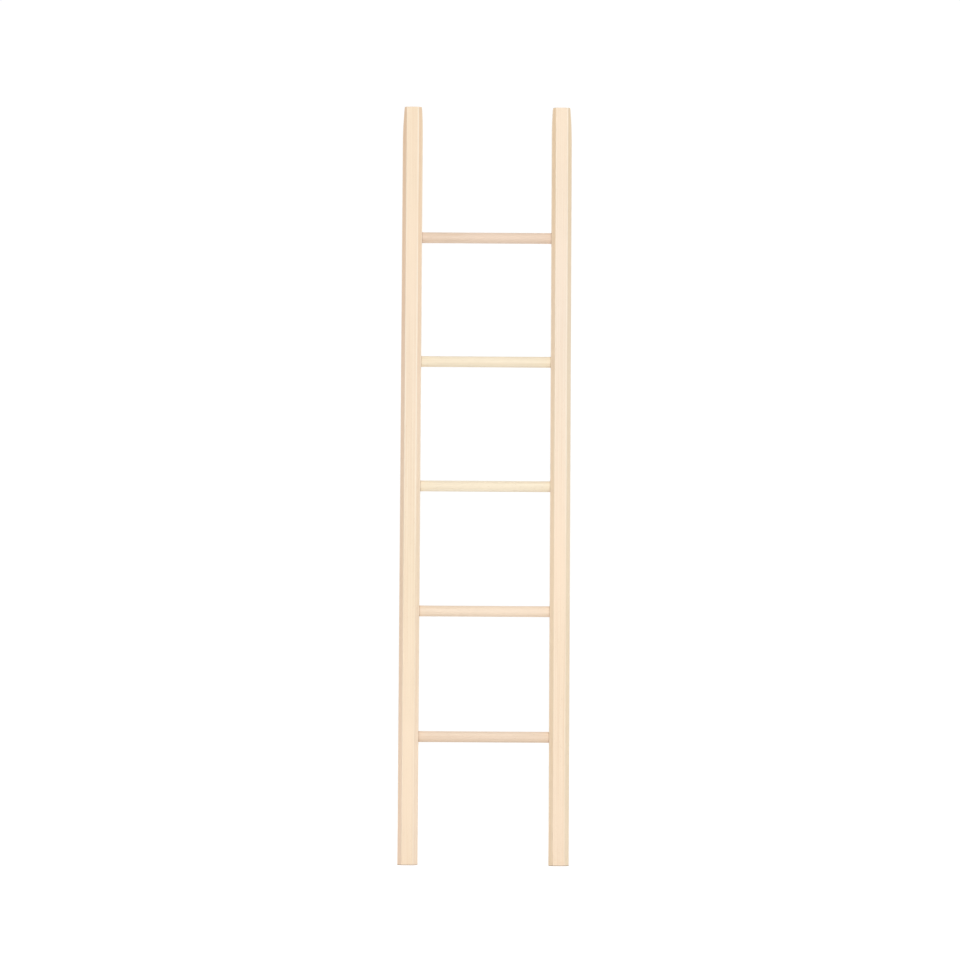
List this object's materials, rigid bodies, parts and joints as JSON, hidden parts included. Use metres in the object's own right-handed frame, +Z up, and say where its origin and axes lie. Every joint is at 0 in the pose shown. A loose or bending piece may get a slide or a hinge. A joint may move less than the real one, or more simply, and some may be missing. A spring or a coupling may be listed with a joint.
{
  "type": "blanket ladder",
  "caption": "Leaning wooden blanket ladder: square rails with their corners cut flat, gently narrowed tips and round dowel rungs in stopped mortises.",
  "frame": {"origin": "on the floor, midway between the two feet and midway from front to back", "axes": "+Z up along the rails, +X across towards the rail on the right as seen from the front, -Y out of the front, +Y towards the wall"},
  "size_m": [0.408, 0.048, 1.82],
  "materials": {
    "rail_wood": "pale straight-grained wood, sanded, clear matt coat",
    "rung_wood": "pale dowel wood, sanded, clear matt coat"
  },
  "bodies": {
    "root": {"left_rail": "rail_wood", "right_rail": "rail_wood", "rung_1": "rung_wood", "rung_2": "rung_wood", "rung_3": "rung_wood", "rung_4": "rung_wood", "rung_5": "rung_wood"}
  },
  "joints": []
}
